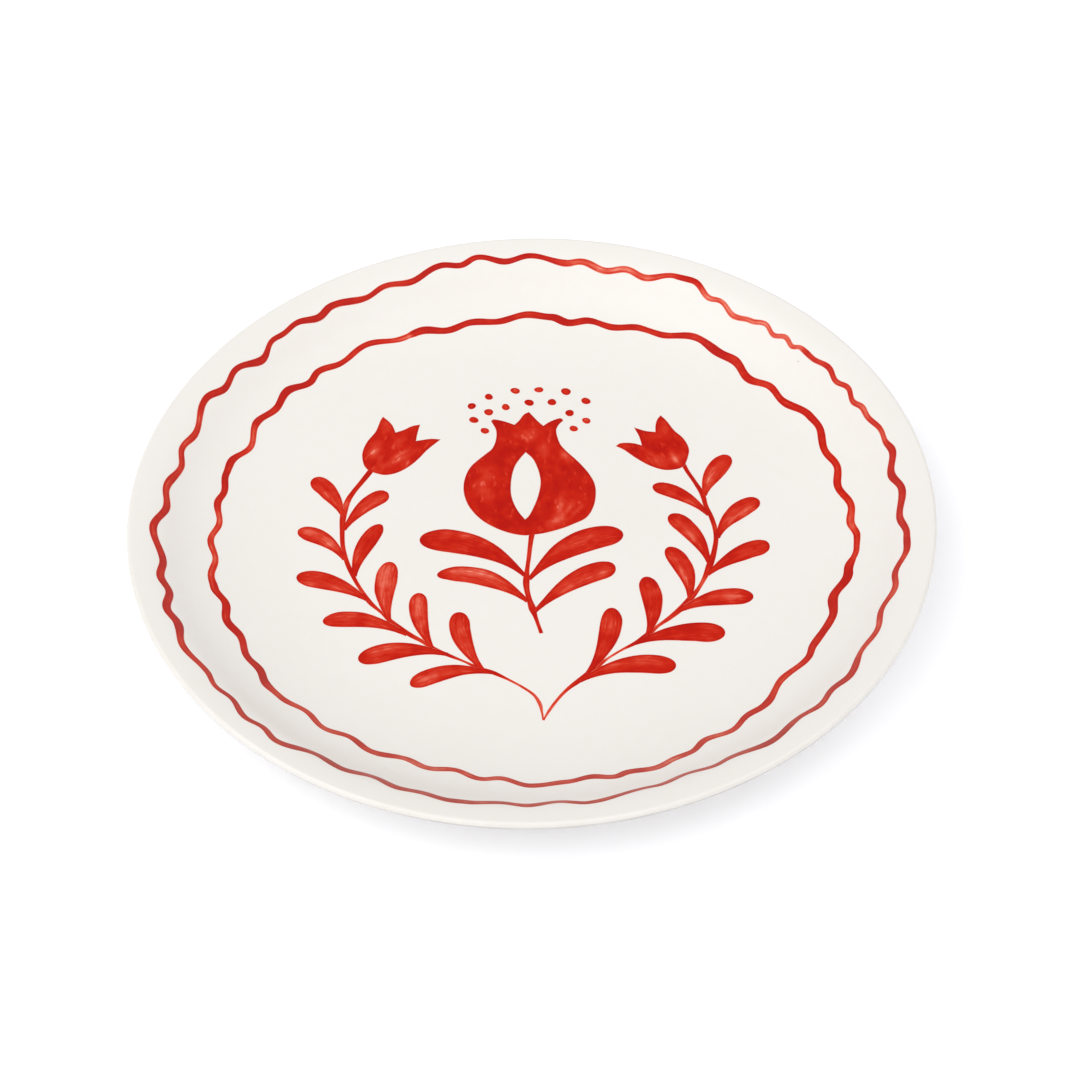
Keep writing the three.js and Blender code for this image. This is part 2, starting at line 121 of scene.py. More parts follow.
# Width of each band and how heavily the brush was loaded: (degrees, width, load). On the outer band
# from about 39 to 85 degrees the low load is partly a painted highlight: the red is paled where the
# glaze's sheen lies on the far wall.
OUTER_STROKE_AND_HIGHLIGHT = [
    (0, 2.6, 0.75), (7, 2.8, 0.8), (12, 2.6, 0.85), (14, 2, 0.45), (22, 2, 0.4), (30, 1.9, 0.6),
    (37.5, 2, 0.7), (39, 1.7, 0.25), (57, 1.9, 0.2), (59, 2.1, 0.3), (61, 2.5, 0.75),
    (64, 2.4, 0.7), (66, 2.3, 0.4), (72, 2.4, 0.3), (80, 2.6, 0.35), (84, 2.5, 0.45),
    (87, 2.3, 0.9), (92, 2.3, 0.85), (97, 2.6, 0.85), (101, 2.3, 0.8), (107, 2.6, 1),
    (109, 2.2, 0.75), (117, 2, 0.8), (122, 2.6, 0.85), (128, 2.8, 1), (131, 2, 0.85),
    (137, 2, 0.75), (141, 2.6, 0.9), (146, 2.2, 0.85), (152, 2.7, 0.9), (155, 2.5, 0.85),
    (157, 2.2, 0.55), (168, 2.2, 0.6), (171, 2.7, 0.75), (174, 2.5, 0.6), (180, 2.7, 0.8),
    (192, 2.8, 0.8), (198, 3.1, 0.85), (203, 3.1, 0.85), (206, 2.7, 0.7), (211, 2.3, 0.5),
    (217, 2, 0.6), (222, 2.2, 0.7), (228, 2.3, 0.65), (234, 2.8, 0.7), (242, 2.8, 0.65),
    (247, 3.1, 0.7), (252, 2.6, 0.6), (258, 2.8, 0.75), (262, 2.5, 0.45), (270, 2.4, 0.45),
    (277, 2.2, 0.5), (290, 2.4, 0.45), (298, 2.5, 0.5), (303, 3, 0.75), (308, 3, 0.75),
    (312, 2.5, 0.55), (318, 2.6, 0.6), (323, 3, 0.8), (325.5, 2.8, 0.7), (328, 2.3, 0.45),
    (340, 2.3, 0.5), (347, 2.4, 0.65), (352, 2.5, 0.7), (360, 2.6, 0.75)]
INNER_STROKE = [
    (0, 3, 0.45), (5, 2.8, 0.6), (12, 2.9, 0.65), (20, 2.8, 0.65), (27, 2.8, 0.75),
    (33, 3.1, 0.75), (37, 2.7, 0.6), (42, 3.1, 0.7), (48, 3.6, 0.8), (53, 3.4, 0.95),
    (56, 3, 0.75), (62, 2.6, 0.75), (70, 2.8, 0.85), (77, 2.8, 0.85), (83, 3.3, 1),
    (88, 3.1, 0.85), (93, 2.7, 0.8), (97, 3, 0.8), (103, 2.7, 0.8), (108, 3.3, 0.85),
    (112.5, 3.1, 0.95), (113.6, 2.4, 0.35), (118, 2.4, 0.45), (120, 2.3, 0.65), (127, 2.4, 0.7),
    (134, 2.7, 0.8), (140, 3, 0.95), (145, 2.8, 0.85), (150, 2.8, 0.9), (151.5, 2.4, 0.5),
    (158, 2.4, 0.55), (160, 2.7, 0.8), (166, 2.7, 0.85), (172, 2.6, 0.75), (175, 2.4, 0.35),
    (184, 2.4, 0.45), (190, 2.8, 0.65), (197, 3.2, 0.75), (204, 3.3, 0.95), (207, 2.7, 0.75),
    (212, 2.9, 0.85), (217, 3.5, 0.95), (219, 2.8, 0.55), (223, 2.5, 0.5), (230, 2.3, 0.4),
    (235, 2.5, 0.6), (243, 2.9, 0.65), (246, 2.7, 0.35), (258, 2.5, 0.4), (264, 2.4, 0.5),
    (268, 2.8, 0.6), (276, 2.8, 0.55), (282, 2.8, 0.6), (287.5, 3.4, 0.7), (289, 3, 0.35),
    (296, 2.8, 0.45), (304, 2.6, 0.5), (310, 2.8, 0.65), (314, 3.4, 0.75), (316, 2.8, 0.5),
    (322, 2.8, 0.55), (327, 2.9, 0.75), (333, 3.3, 0.85), (338, 3.3, 0.75), (343, 3.7, 0.9),
    (348, 3.9, 0.9), (350.5, 3.4, 0.85), (352, 2.3, 0.5), (357, 2.6, 0.6), (360, 3, 0.45)]

# How dark and brown the red is round each band: (degrees, amount). Partly a duller fired red and
# partly painted shade, strongest on the near side of the plate where the wall is turned from the
# light.
OUTER_DULLNESS_AND_SHADE = [
    (0, 0.1), (60, 0), (160, 0.05), (210, 0.2), (240, 0.45), (300, 0.45), (330, 0.2), (360, 0.1)]
INNER_DULLNESS_AND_SHADE = [(0, 0), (200, 0.05), (220, 0.25), (240, 0.3), (300, 0.3), (320, 0.1), (360, 0)]

# Outlines as smooth runs that meet at corners.
POMEGRANATE = [
    [(-15.1, 65.5), (-14, 66.4), (-10, 65.2), (-6, 63.2)],
    [(-6, 63.2), (-4.2, 65.4), (-2.4, 68.6), (-0.3, 70.1)],
    [(-0.3, 70.1), (1.4, 67.6), (3.2, 64.8), (5.2, 62.3)],
    [(5.2, 62.3), (8, 64.6), (11.8, 66.3), (13.1, 65)],
    [(13.1, 65), (11.2, 62.6), (10.2, 59.2), (11.3, 53), (13.4, 48.9), (18.3, 42.4), (22, 36.4),
     (24.3, 30.5), (24.6, 24), (23.4, 17.6), (20.6, 12.4), (15.5, 9.2), (11, 7), (5, 5), (0, 4.2),
     (-3.4, 4), (-8, 5.2), (-13, 7.7), (-18, 11.5), (-22, 16.5), (-24.6, 22), (-25.8, 28.5),
     (-25.2, 35), (-22.8, 41.2), (-17.5, 47.3), (-14.8, 50.3), (-13.3, 55), (-13.2, 60.5),
     (-15.1, 65.5)]]
POMEGRANATE_WINDOW = [
    [(-1.8, 48), (-4.2, 44.3), (-6.2, 40), (-7.4, 34), (-7.7, 27), (-6.8, 21.4), (-4.9, 16.4),
     (-2.5, 12.3)],
    [(-2.5, 12.3), (-1, 14.2), (0.6, 18), (2.5, 24), (3.6, 30.5), (3.4, 35.5), (2.4, 40.2),
     (0.8, 44.5), (-1.8, 48)]]
TULIP_LEFT = [
    [(-57.2, 68.5), (-58.2, 66.4), (-60, 60.5), (-63.2, 55), (-64.9, 49), (-64.2, 43),
     (-62.4, 39.9)],
    [(-62.4, 39.9), (-59.6, 38.4), (-55.5, 37.3), (-50.5, 38.8), (-46, 42.3), (-42.6, 46.4),
     (-39.7, 50.5), (-34.7, 56)],
    [(-34.7, 56), (-38.8, 56.4), (-44.2, 55.4)],
    [(-44.2, 55.4), (-43.7, 59.5), (-42.7, 64.3)],
    [(-42.7, 64.3), (-46, 63.4), (-49, 61.5), (-52.2, 60.1)],
    [(-52.2, 60.1), (-53.4, 63.8), (-55, 66.2), (-57.2, 68.5)]]
TULIP_RIGHT = [
    [(51, 66.4), (49.5, 64), (48.8, 61), (48.6, 57.5)],
    [(48.6, 57.5), (44.6, 58.3), (40.4, 60.3)],
    [(40.4, 60.3), (42.2, 55.4), (43.1, 50.4)],
    [(43.1, 50.4), (39.5, 51.8), (35, 51.9), (33, 50.3)],
    [(33, 50.3), (36.2, 48.1), (40.6, 43.6), (45.7, 39.4), (51.3, 36.9), (56.5, 37.3),
     (59.2, 39)],
    [(59.2, 39), (60.6, 43.4), (61.2, 48), (59.4, 53.4), (56, 58), (53, 63.6), (51, 66.4)]]

# Stems: centreline with (x, y, width, load).
STEMS = {
    "stem_pomegranate": [
        (0, 5, 2.3, 0.7), (-0.6, 0, 1.9, 0.65), (-1.3, -7, 1.8, 0.6), (-2, -13, 1.9, 0.65),
        (-2.4, -19, 2.6, 0.8), (-2.2, -24, 2.3, 0.6), (-1.3, -29, 2.3, 0.65),
        (-0.3, -33, 2.8, 0.8), (0.7, -37, 1.7, 0.75), (1.8, -41.5, 1.5, 0.7),
        (2.8, -45.4, 1.6, 0.8)],
    "stem_left": [
        (-61.2, 40.2, 2.4, 0.85), (-64.4, 34.5, 2.2, 0.8), (-67.8, 28.6, 2.1, 0.7),
        (-70, 23.5, 2.4, 0.45), (-71.4, 16, 2.6, 0.8), (-71.6, 8, 2, 0.7), (-71.1, 0, 1.8, 0.6),
        (-69.4, -8, 1.9, 0.7), (-66.8, -15.5, 1.7, 0.7), (-64.3, -21, 1.6, 0.5),
        (-60.6, -28, 2, 0.7), (-56, -33.6, 1.3, 0.55), (-51.8, -38.8, 2.2, 0.7),
        (-46, -44.3, 2.2, 0.7), (-41, -48, 1.8, 0.5), (-36.5, -51.8, 2, 0.7),
        (-31.5, -54.9, 1.7, 0.65), (-25.5, -58.3, 1, 0.4), (-20, -61.8, 1.8, 0.65),
        (-15, -63.9, 2, 0.8), (-9.5, -67.4, 1.2, 0.3), (-4.6, -71, 1.2, 0.35),
        (-0.4, -75, 1.3, 0.3), (1.7, -79.4, 1.5, 0.2), (2.4, -83.6, 0.9, 0.2),
        (2.8, -87.4, 0.7, 0.4)],
    "stem_right": [
        (58.6, 40, 2, 0.85), (60.2, 35.4, 1.7, 0.8), (62.8, 29.6, 1.7, 0.75),
        (65.2, 23.6, 2.1, 0.85), (66.2, 17.5, 1.9, 0.8), (67.9, 11.6, 2, 0.8), (69, 6, 1.9, 0.5),
        (69.2, 0.5, 1.9, 0.8), (68, -6.6, 2.2, 0.8), (66.2, -13, 2.6, 0.85),
        (64.3, -18.6, 1.9, 0.5), (61.6, -24.4, 1.7, 0.4), (58.4, -29.4, 2.6, 0.8),
        (54.6, -34.6, 2.6, 0.85), (50, -39.2, 2, 0.55), (45.6, -43, 1.5, 0.3),
        (41.4, -47.4, 2.4, 0.8), (37.2, -51, 1.8, 0.8), (32, -54.3, 1.2, 0.35),
        (26.4, -58.6, 1.2, 0.3), (21.4, -63.6, 2.4, 0.75), (16.6, -68.2, 2.2, 0.9),
        (12, -72.4, 1.5, 0.45), (8.4, -77, 1.3, 0.3), (5.4, -82, 1.3, 0.2), (3.9, -85, 1, 0.2),
        (2.9, -87.4, 0.7, 0.4)]}

# Leaves: root, middle of the centreline, tip, greatest width, where it is along the leaf, how
# blunt the tip is, load, and the strength and side (-1 right to 1 left) of a paler wash.
LEAVES = {
    "leaf_pomegranate_upper_left": [
        (-3, -16.5), (-20.4, -1.5), (-42.3, 2.5), 11.5, 0.7, 3, 0.8, 0.6, -0.6],
    "leaf_pomegranate_upper_right": [
        (-1.4, -18.5), (15.2, -1.9), (34.4, 3.2), 11.3, 0.64, 3.6, 0.75, 0.5, 0.2],
    "leaf_pomegranate_lower_left": [
        (-2, -29.5), (-18.4, -17.1), (-35.6, -15.6), 8.3, 0.54, 2.6, 0.65, 0.7, -0.3],
    "leaf_pomegranate_lower_right": [
        (0.7, -34.4), (15.5, -19.9), (31, -13.3), 9.3, 0.72, 3.2, 0.7, 0.6, -0.3],
    "leaf_left_outer_1": [
        (-71.3, 15.5), (-76.1, 26.6), (-83.5, 35.4), 7.7, 0.76, 2.6, 0.65, 0.2, 0.4],
    "leaf_left_outer_2": [
        (-70.3, -6.5), (-78, 3.5), (-88.4, 7.9), 7.6, 0.72, 2.4, 0.6, 0.8, -0.1],
    "leaf_left_outer_3": [
        (-60.9, -27.4), (-74.5, -18.6), (-88, -15.8), 8.6, 0.7, 2.4, 0.7, 0.35, 0.6],
    "leaf_left_outer_4": [
        (-46.5, -44.7), (-62.5, -37.2), (-77.4, -38.3), 7.9, 0.7, 2.3, 0.7, 0.2, -0.4],
    "leaf_left_outer_5": [
        (-31.5, -54.8), (-48.5, -52.3), (-63.7, -57.6), 8.8, 0.74, 2.4, 0.75, 0.4, -0.4],
    "leaf_left_outer_6": [
        (-15.5, -63.9), (-31, -63.1), (-44.7, -69.8), 7.7, 0.74, 2.4, 0.7, 0.6, 0.1],
    "leaf_left_inner_1": [
        (-71, 8.8), (-63.4, 20.8), (-54.4, 27.2), 7.3, 0.74, 2.8, 0.65, 0.5, -0.3],
    "leaf_left_inner_2": [
        (-66.4, -15.2), (-63.9, -2.4), (-56.9, 11.2), 6.8, 0.72, 2.5, 0.7, 0.3, 0.7],
    "leaf_left_inner_3": [
        (-53, -37.8), (-54.9, -23.5), (-52.9, -8.2), 8.3, 0.72, 2.4, 0.55, 0.55, 0.2],
    "leaf_left_inner_4": [
        (-37.2, -51.4), (-41.8, -37.4), (-42, -24.2), 7, 0.7, 2.7, 0.65, 0.5, 0.0],
    "leaf_left_inner_5": [
        (-18.8, -62.4), (-25.9, -47.8), (-27, -34.2), 7.9, 0.7, 2.8, 0.65, 0.3, -0.2],
    "leaf_right_outer_1": [(66, 22.8), (69.4, 33.1), (76.4, 43.3), 8.1, 0.7, 2.6, 0.65, 0.6, 0.0],
    "leaf_right_outer_2": [
        (69.8, 0.6), (75.9, 11.7), (86.5, 19.2), 8.2, 0.74, 2.8, 0.65, 0.6, -0.3],
    "leaf_right_outer_3": [(65, -18), (77, -8.4), (89, -4.3), 8.2, 0.72, 3.2, 0.75, 0.3, -0.4],
    "leaf_right_outer_4": [
        (52.8, -36.3), (67, -30), (81.3, -30.5), 8.3, 0.7, 2.7, 0.75, 0.6, 0.0],
    "leaf_right_outer_5": [
        (36.8, -51.3), (53.3, -46.6), (69.9, -48.2), 9.6, 0.78, 2.3, 0.85, 0.25, -0.4],
    "leaf_right_outer_6": [
        (16.4, -68.8), (33.5, -61.7), (51.2, -63.5), 9, 0.78, 2.8, 0.75, 0.6, 0.2],
    "leaf_right_inner_1": [(67, 12.6), (57.8, 22.8), (46.4, 28.3), 6.8, 0.74, 2.5, 0.7, 0.3, 0.6],
    "leaf_right_inner_2": [(66, -12.6), (61.2, 1.7), (52.1, 13), 7.8, 0.74, 2.5, 0.7, 0.6, 0.2],
    "leaf_right_inner_3": [
        (57.8, -30), (56.9, -16.5), (50.6, -3.8), 7.7, 0.7, 2.5, 0.7, 0.6, 0.4],
    "leaf_right_inner_4": [
        (41.5, -47.4), (44.2, -33.2), (41.6, -18.5), 7.9, 0.72, 2.5, 0.75, 0.2, 0.0],
    "leaf_right_inner_5": [
        (19, -65.5), (26.8, -49.5), (28.6, -33.6), 8.1, 0.72, 2.5, 0.75, 0.25, 0.0]}

# Seeds: (x, y, length, breadth, degrees of the long axis).
SEEDS = [
    (-22.6, 73.9, 3.4, 3.2, 20), (-21.8, 66.3, 3.8, 3.3, 150), (-17.5, 60.2, 3.6, 3.1, 130),
    (-16, 70.4, 3.8, 3.4, 120), (-15.9, 78.8, 3.4, 3.1, 140), (-9.3, 73, 3.7, 3, 120),
    (-5.5, 81.8, 3.8, 3.2, 160), (-0.1, 75.2, 3.8, 3.4, 150), (3.8, 82.1, 3.6, 3, 170),
    (8.8, 75.2, 3.6, 3.4, 90), (14.4, 80.8, 4.2, 3.4, 145), (15.6, 69, 3.7, 3.3, 120),
    (17, 60.4, 3.6, 3, 130), (22, 64.6, 3.7, 3, 125), (22.1, 75.4, 3.9, 3.3, 130)]

# ---- Studio: the floor in millimetres, lamp and camera in metres -----------------------------
FLOOR_HALF = 4000.0
FLOOR_STEPS = 24
FLOOR_DROP = -0.02
FLOOR_GLOW = 0.132
KEY_DIRECTION = Vector((-0.5, -0.25, 0.83))
KEY_DISTANCE = 1.9
KEY_SIZE = 1.9
KEY_WATTS = 10.5
LIT_POINT = Vector((0, 0, 0.02))
HORIZON = 0.58
OVERHEAD = 1.38
DIM_PATCH = (0, 0.684, 0.729)
DIM_PATCH_FADE = (0.743, 0.94)
DIM_PATCH_SHARE = 0.31
LENS = 108.56
SENSOR_WIDTH = 36
ELEVATION = math.radians(46.84)
ROLL = math.radians(1.21)
CAMERA_DISTANCE = 1.2
CAMERA_AIM = Vector((0.0030, -0.0156, LIP_HEIGHT * MM))

# ---- Shape of the plate ----------------------------------------------------------------------


def smoothstep(low, high, value):
    t = np.clip((np.asarray(value, float) - low) / (high - low), 0, 1)
    return t * t * (3 - 2 * t)


def face_height(radius):
    r = np.clip(np.asarray(radius, float), 0, RIM_RADIUS)
    i = np.clip(np.searchsorted(FACE[:, 0], r, side="right") - 1, 0, len(FACE) - 2)
    r0, z0, s0 = (FACE[i, k] for k in range(3))
    r1, z1, s1 = (FACE[i + 1, k] for k in range(3))
    span = r1 - r0
    t = (r - r0) / span
    rise = z0 * (1 + 2 * t) * (1 - t) ** 2 + z1 * t * t * (3 - 2 * t)
    return rise + span * (s0 * t * (1 - t) ** 2 - s1 * t * t * (1 - t))


def face_normal(radius):
    step = 0.01
    slope = (face_height(radius + step) - face_height(radius - step)) / (2 * step)
    length = np.hypot(slope, 1)
    return np.stack([-slope / length, 1 / length], -1)


def hand_thrown(x, y):
    """How far the throwing left the surface above or below the true section."""
    angle = np.arctan2(y, x)
    wave = sum(height * np.sin(count * angle + phase) for count, height, phase in THROWN_WAVES)
    return wave * smoothstep(THROWN_FROM, RIM_RADIUS, np.hypot(x, y))


def surface_height(x, y):
    return face_height(np.hypot(x, y)) + hand_thrown(x, y)


def wall_thickness(radius):
    t = np.clip((WALL_THICKENS_FROM - radius) / (WALL_THICKENS_FROM - WALL_THICKENS_TO), 0, 1)
    return WALL_AT_LIP + (WALL_AT_WELL - WALL_AT_LIP) * t


def skin(depth):
    """Outer skin moved in by depth: foot's shoulder, underside, lip, face, axis."""
    under = np.arange(UNDERSIDE_START, 146.01, 1.5)
    rings = TURNED_RING_DEPTH * np.sin(under * TURNED_RINGS_PER_MM)
    rings = rings * smoothstep(104, 110, under) * (1 - smoothstep(138, 144, under))
    low = np.stack([under, face_height(under)], -1)
    low -= face_normal(under) * (wall_thickness(under) - depth + rings)[:, None]
    lip = []
    for corner, height, start, end in LIP_ARCS:
        angles = np.radians(np.linspace(start, end, 11))
        reach = corner - depth
        across = RIM_RADIUS - corner + reach * np.cos(angles)
        lip.append(np.stack([across, height + reach * np.sin(angles)], -1))
    lip = np.concatenate(lip)
    radii = np.concatenate([np.arange(148, 60, -2.0), np.arange(60, 1, -6.0)])
    face = np.stack([radii, face_height(radii)], -1) - face_normal(radii) * depth
    return np.concatenate([low, lip, face, [(0, face_height(0) - depth)]])


def body_profile():
    recess = BASE_RECESS + GLAZE_THICKNESS + LAYER_GAP
    inner, outer, edge = FOOT_INNER_RADIUS, FOOT_OUTER_RADIUS, FOOT_EDGE
    quarter = np.radians(np.linspace(0, 90, 7))
    cosine, sine = edge * np.cos(quarter), edge * np.sin(quarter)
    inner_edge = np.stack([inner + edge - cosine, edge - sine], -1)
    outer_edge = np.stack([outer - edge + sine, edge - cosine], -1)
    flat = [(r, recess) for r in np.linspace(0, inner - 1.2, 24)]
    fillet = [(inner - 0.5, recess - 0.15), (inner - 0.1, recess - 0.6)]
    shoulder = [(outer + 0.15, 1.8), (outer + 0.5, 3), (outer + 1.2, FOOT_SHOULDER_HEIGHT + 0.3)]
    foot = np.concatenate([flat, fillet, inner_edge, outer_edge, shoulder])
    return np.concatenate([foot, skin(GLAZE_THICKNESS + LAYER_GAP)])


def glaze_coat_profile():
    return np.concatenate([skin(GLAZE_THICKNESS)[::-1], skin(0)])


def base_glaze_profile():
    top = BASE_RECESS + GLAZE_THICKNESS
    half = GLAZE_THICKNESS / 2
    turn = np.radians(np.linspace(-90, 90, 9))
    across = BASE_GLAZE_RADIUS - half + half * np.cos(turn)
    rim = np.stack([across, BASE_RECESS + half + half * np.sin(turn)], -1)
    radii = np.linspace(0, BASE_GLAZE_RADIUS - 1, 24)
    low = [(r, BASE_RECESS) for r in radii]
    high = [(r, top) for r in radii[::-1]]
    return np.concatenate([low, rim, high])


# ---- Meshes ----------------------------------------------------------------------------------


def make_object(name, verts, faces, attributes=None):
    mesh = bpy.data.meshes.new(name)
    faces = [tuple(int(i) for i in face) for face in faces]
    mesh.from_pydata((np.asarray(verts) * MM).tolist(), [], faces)
    for key, values in (attributes or {}).items():
        layer = mesh.attributes.new(key, "FLOAT", "POINT")
        layer.data.foreach_set("value", np.asarray(values, dtype=np.float32))
    mesh.polygons.foreach_set("use_smooth", [True] * len(mesh.polygons))
    mesh.update()
    obj = bpy.data.objects.new(name, mesh)
    bpy.context.scene.collection.objects.link(obj)
    return obj


def revolve(name, profile):
    """Turns a section, given bottom, outside, top, into a closed solid."""
    profile = np.asarray(profile, float)
    angles = 2 * np.pi * np.arange(TURNS) / TURNS
    verts, rings = [], []
    for radius, height in profile:
        if radius < 1e-6:
            rings.append([len(verts)])
            verts.append((0.0, 0.0, height))
            continue
        rings.append(list(range(len(verts), len(verts) + TURNS)))
        x, y = radius * np.cos(angles), radius * np.sin(angles)
        z = height + hand_thrown(x, y)
        verts.extend(zip(x, y, z))
    faces = []
    for low, high in zip(rings, rings[1:]):
        for k in range(TURNS):
            n = (k + 1) % TURNS
            if len(low) == 1:
                faces.append((low[0], high[n], high[k]))
            elif len(high) == 1:
                faces.append((low[k], low[n], high[0]))
            else:
                faces.append((low[k], low[n], high[n], high[k]))
    return make_object(name, verts, faces)


def catmull_rom(points, steps):
    """Smooth curve through the points; every column is interpolated alike."""
    p = np.asarray(points, float)
    p = np.concatenate([[2 * p[0] - p[1]], p, [2 * p[-1] - p[-2]]])
    t = np.linspace(0, 1, steps, endpoint=False)[:, None]
    out = []
    for a, b, c, d in zip(p, p[1:], p[2:], p[3:]):
        square, cube = 2 * a - 5 * b + 4 * c - d, 3 * b - a - 3 * c + d
        out.append(0.5 * (2 * b + (c - a) * t + square * t**2 + cube * t**3))
    return np.concatenate(out + [p[-2:-1]])


def wobble(count, spread, size):
    """A smooth random walk round zero, for edges drawn by hand."""
    knots = rng.normal(0, size, max(4, int(count / spread) + 3))
    return np.interp(np.linspace(0, len(knots) - 1, count), np.arange(len(knots)), knots)


# Where a stroke's points lie across it, from its right edge to its left.
ACROSS = np.array([-1, -0.94, -0.82, -0.62, -0.32, 0, 0.32, 0.62, 0.82, 0.94, 1])


def ribbon(name, centre, left, right, load, lift=0.0, closed=False, shade=0, merging=0.0, dull_and_shaded=0):
    """A brush stroke along centre, left and right of it by the given widths.

    Over the first `merging` millimetres it runs wet into another stroke and has no thin edge.
    shade adds to the load; dull sets how dark and brown it is, partly a duller fired red and partly
    painted shade.
    """
    count = len(centre)
    if closed:
        along = np.roll(centre, -1, 0) - np.roll(centre, 1, 0)
    else:
        along = np.gradient(centre, axis=0)
    along /= np.linalg.norm(along, axis=1)[:, None]
    side = np.stack([-along[:, 1], along[:, 0]], -1)
    steps = np.linalg.norm(np.diff(centre, axis=0), axis=1)
    travelled = np.concatenate([[0], np.cumsum(steps)])
    columns = len(ACROSS)
    reach = np.where(ACROSS >= 0, left[:, None], right[:, None])
    xy = centre[:, None, :] + side[:, None, :] * (reach * ACROSS)[..., None]
    base = surface_height(xy[..., 0], xy[..., 1])
    half = (left + right) / 2
    dome = (1 - np.abs(ACROSS) ** 3) * PAINT_RELIEF * np.clip(half, 0.3, 2)[:, None] / 2
    top = np.concatenate([xy, (base + PAINT_EDGE_LIFT + lift + dome)[..., None]], -1).reshape(-1, 3)
    low = np.concatenate([xy, (base - PAINT_SINK)[..., None]], -1).reshape(-1, 3)
    edge = (1 - np.abs(ACROSS))[None, :] * half[:, None]
    if not closed:
        edge = np.minimum(edge, (travelled[-1] - travelled)[:, None] + 0.05)
        if merging:
            edge = edge + (1 - smoothstep(0, merging, travelled))[:, None]
    tone = load[:, None] + shade * np.ones((count, columns))
    values = {
        "edge": edge.ravel(),
        "load": tone.ravel(),
        "along": np.repeat(travelled, columns),
        "across": (reach * ACROSS).ravel(),
        "dull_and_shaded": np.repeat(dull_and_shaded * np.ones(count), columns),
    }
    values = {key: np.concatenate([v, v]) for key, v in values.items()}
    total = count * columns
    faces = []
    rows = count if closed else count - 1
    for i in range(rows):
        a, b = i * columns, ((i + 1) % count) * columns
        for j in range(columns - 1):
            faces.append((a + j, b + j, b + j + 1, a + j + 1))
            faces.append((total + a + j, total + a + j + 1, total + b + j + 1, total + b + j))
        faces.append((a, total + a, total + b, b))
        last = columns - 1
        faces.append((a + last, b + last, total + b + last, total + a + last))
    if not closed:
        for j in range(columns - 1):
            faces.append((j, j + 1, total + j + 1, total + j))
            end = (count - 1) * columns
            faces.append((end + j, total + end + j, total + end + j + 1, end + j + 1))
    # The rows above run right to left, so each face is turned to look out.
    faces = [f[::-1] for f in faces]
    return make_object(name, np.concatenate([top, low]), faces, values)


def leaf(name, root, middle, tip, width, widest, blunt, load, wash, wash_side):
    a, m, b = (np.array(p, float) for p in (root, middle, tip))
    pull = 2 * m - (a + b) / 2
    # Stations close up towards the round tip.
    t = np.sin(np.linspace(0, 1, 60) * np.pi / 2)[:, None] ** 1.15
    centre = (1 - t) ** 2 * a + 2 * t * (1 - t) * pull + t**2 * b
    t = t[:, 0]
    swell = np.sin(np.clip(t / widest, 0, 1) * np.pi / 2) ** LEAF_SWELL
    half = (LEAF_ROOT_WIDTH + (width - LEAF_ROOT_WIDTH) * swell) / 2
    fall = np.clip((t - widest) / (1 - widest), 0, 1)
    half = half * np.sqrt(np.clip(1 - fall**blunt, 0, 1))
    half = np.maximum(half, 0.04)
    left = half * (1 + wobble(len(t), 9, 0.022))
    right = half * (1 + wobble(len(t), 9, 0.022))
    # Colour is heavier where the brush lands and where it lifts.
    tone = load + 0.12 * (1 - smoothstep(0, 0.3, t)) + 0.08 * smoothstep(0.8, 1, t)
    tone = tone + wobble(len(t), 12, 0.03)
    pale = -0.45 * wash * np.exp(-((ACROSS[None, :] - wash_side) / 0.38) ** 2)
    pale = pale * (smoothstep(0.15, 0.45, t) * (1 - smoothstep(0.8, 0.98, t)))[:, None]
    return ribbon(name, centre, left, right, tone, LEAF_LIFT, shade=pale, merging=LEAF_MERGING)


def stem(name, rows):
    path = catmull_rom(rows, 8)
    half = np.maximum(path[:, 2], 0.3) / 2
    left = half * (1 + wobble(len(path), 14, 0.05))
    right = half * (1 + wobble(len(path), 14, 0.05))
    return ribbon(name, path[:, :2], left, right, path[:, 3])


def band(name, turning_points, stroke, dullness_and_shade):
    degrees = np.arange(0, 360, 0.4)
    knots = np.array(turning_points, float)
    knots = np.concatenate([knots[-1:] - (360, 0), knots, knots[:1] + (360, 0)])
    i = np.searchsorted(knots[:, 0], degrees, side="right") - 1
    t = (degrees - knots[i, 0]) / (knots[i + 1, 0] - knots[i, 0])
    radius = knots[i, 1] + (knots[i + 1, 1] - knots[i, 1]) * (1 - np.cos(np.pi * t)) / 2
    laid = np.array(stroke, float)
    half = np.interp(degrees, laid[:, 0], laid[:, 1]) / 2
    # On the outer band the load also carries a painted highlight, paler where the glaze's sheen
    # lies on the far wall.
    load = np.interp(degrees, laid[:, 0], laid[:, 2])
    angle = np.radians(degrees)
    centre = np.stack([radius * np.cos(angle), radius * np.sin(angle)], -1)
    half = half * (1 + 0.08 * np.sin(angle * 53) * np.sin(angle * 17 + 1))
    # Partly a duller fired red, partly painted shade on the near side of the plate.
    dull_and_shaded = np.interp(degrees, *np.array(dullness_and_shade, float).T)
    return ribbon(name, centre, half, half, load, closed=True, dull_and_shaded=dull_and_shaded)


def outline_of(runs):
    """Points at even spacing along smooth runs that meet at corners."""
    points = []
    for run in runs:
        curve = catmull_rom(run, 24)
        steps = np.linalg.norm(np.diff(curve, axis=0), axis=1)
        distance = np.concatenate([[0], np.cumsum(steps)])
        count = max(3, int(distance[-1] / OUTLINE_SPACING))
        at = np.linspace(0, distance[-1], count, endpoint=False)
        points.append(np.stack([np.interp(at, distance, curve[:, k]) for k in (0, 1)], -1))
    return np.concatenate(points)


def edge_distance(points, loop):
    a = loop
    b = np.roll(loop, -1, 0)
    ab = b - a
    best = np.full(len(points), np.inf)
    for start, span in zip(a, ab):
        t = np.clip(((points - start) @ span) / (span @ span), 0, 1)
        best = np.minimum(best, np.linalg.norm(points - start - t[:, None] * span, axis=1))
    return best


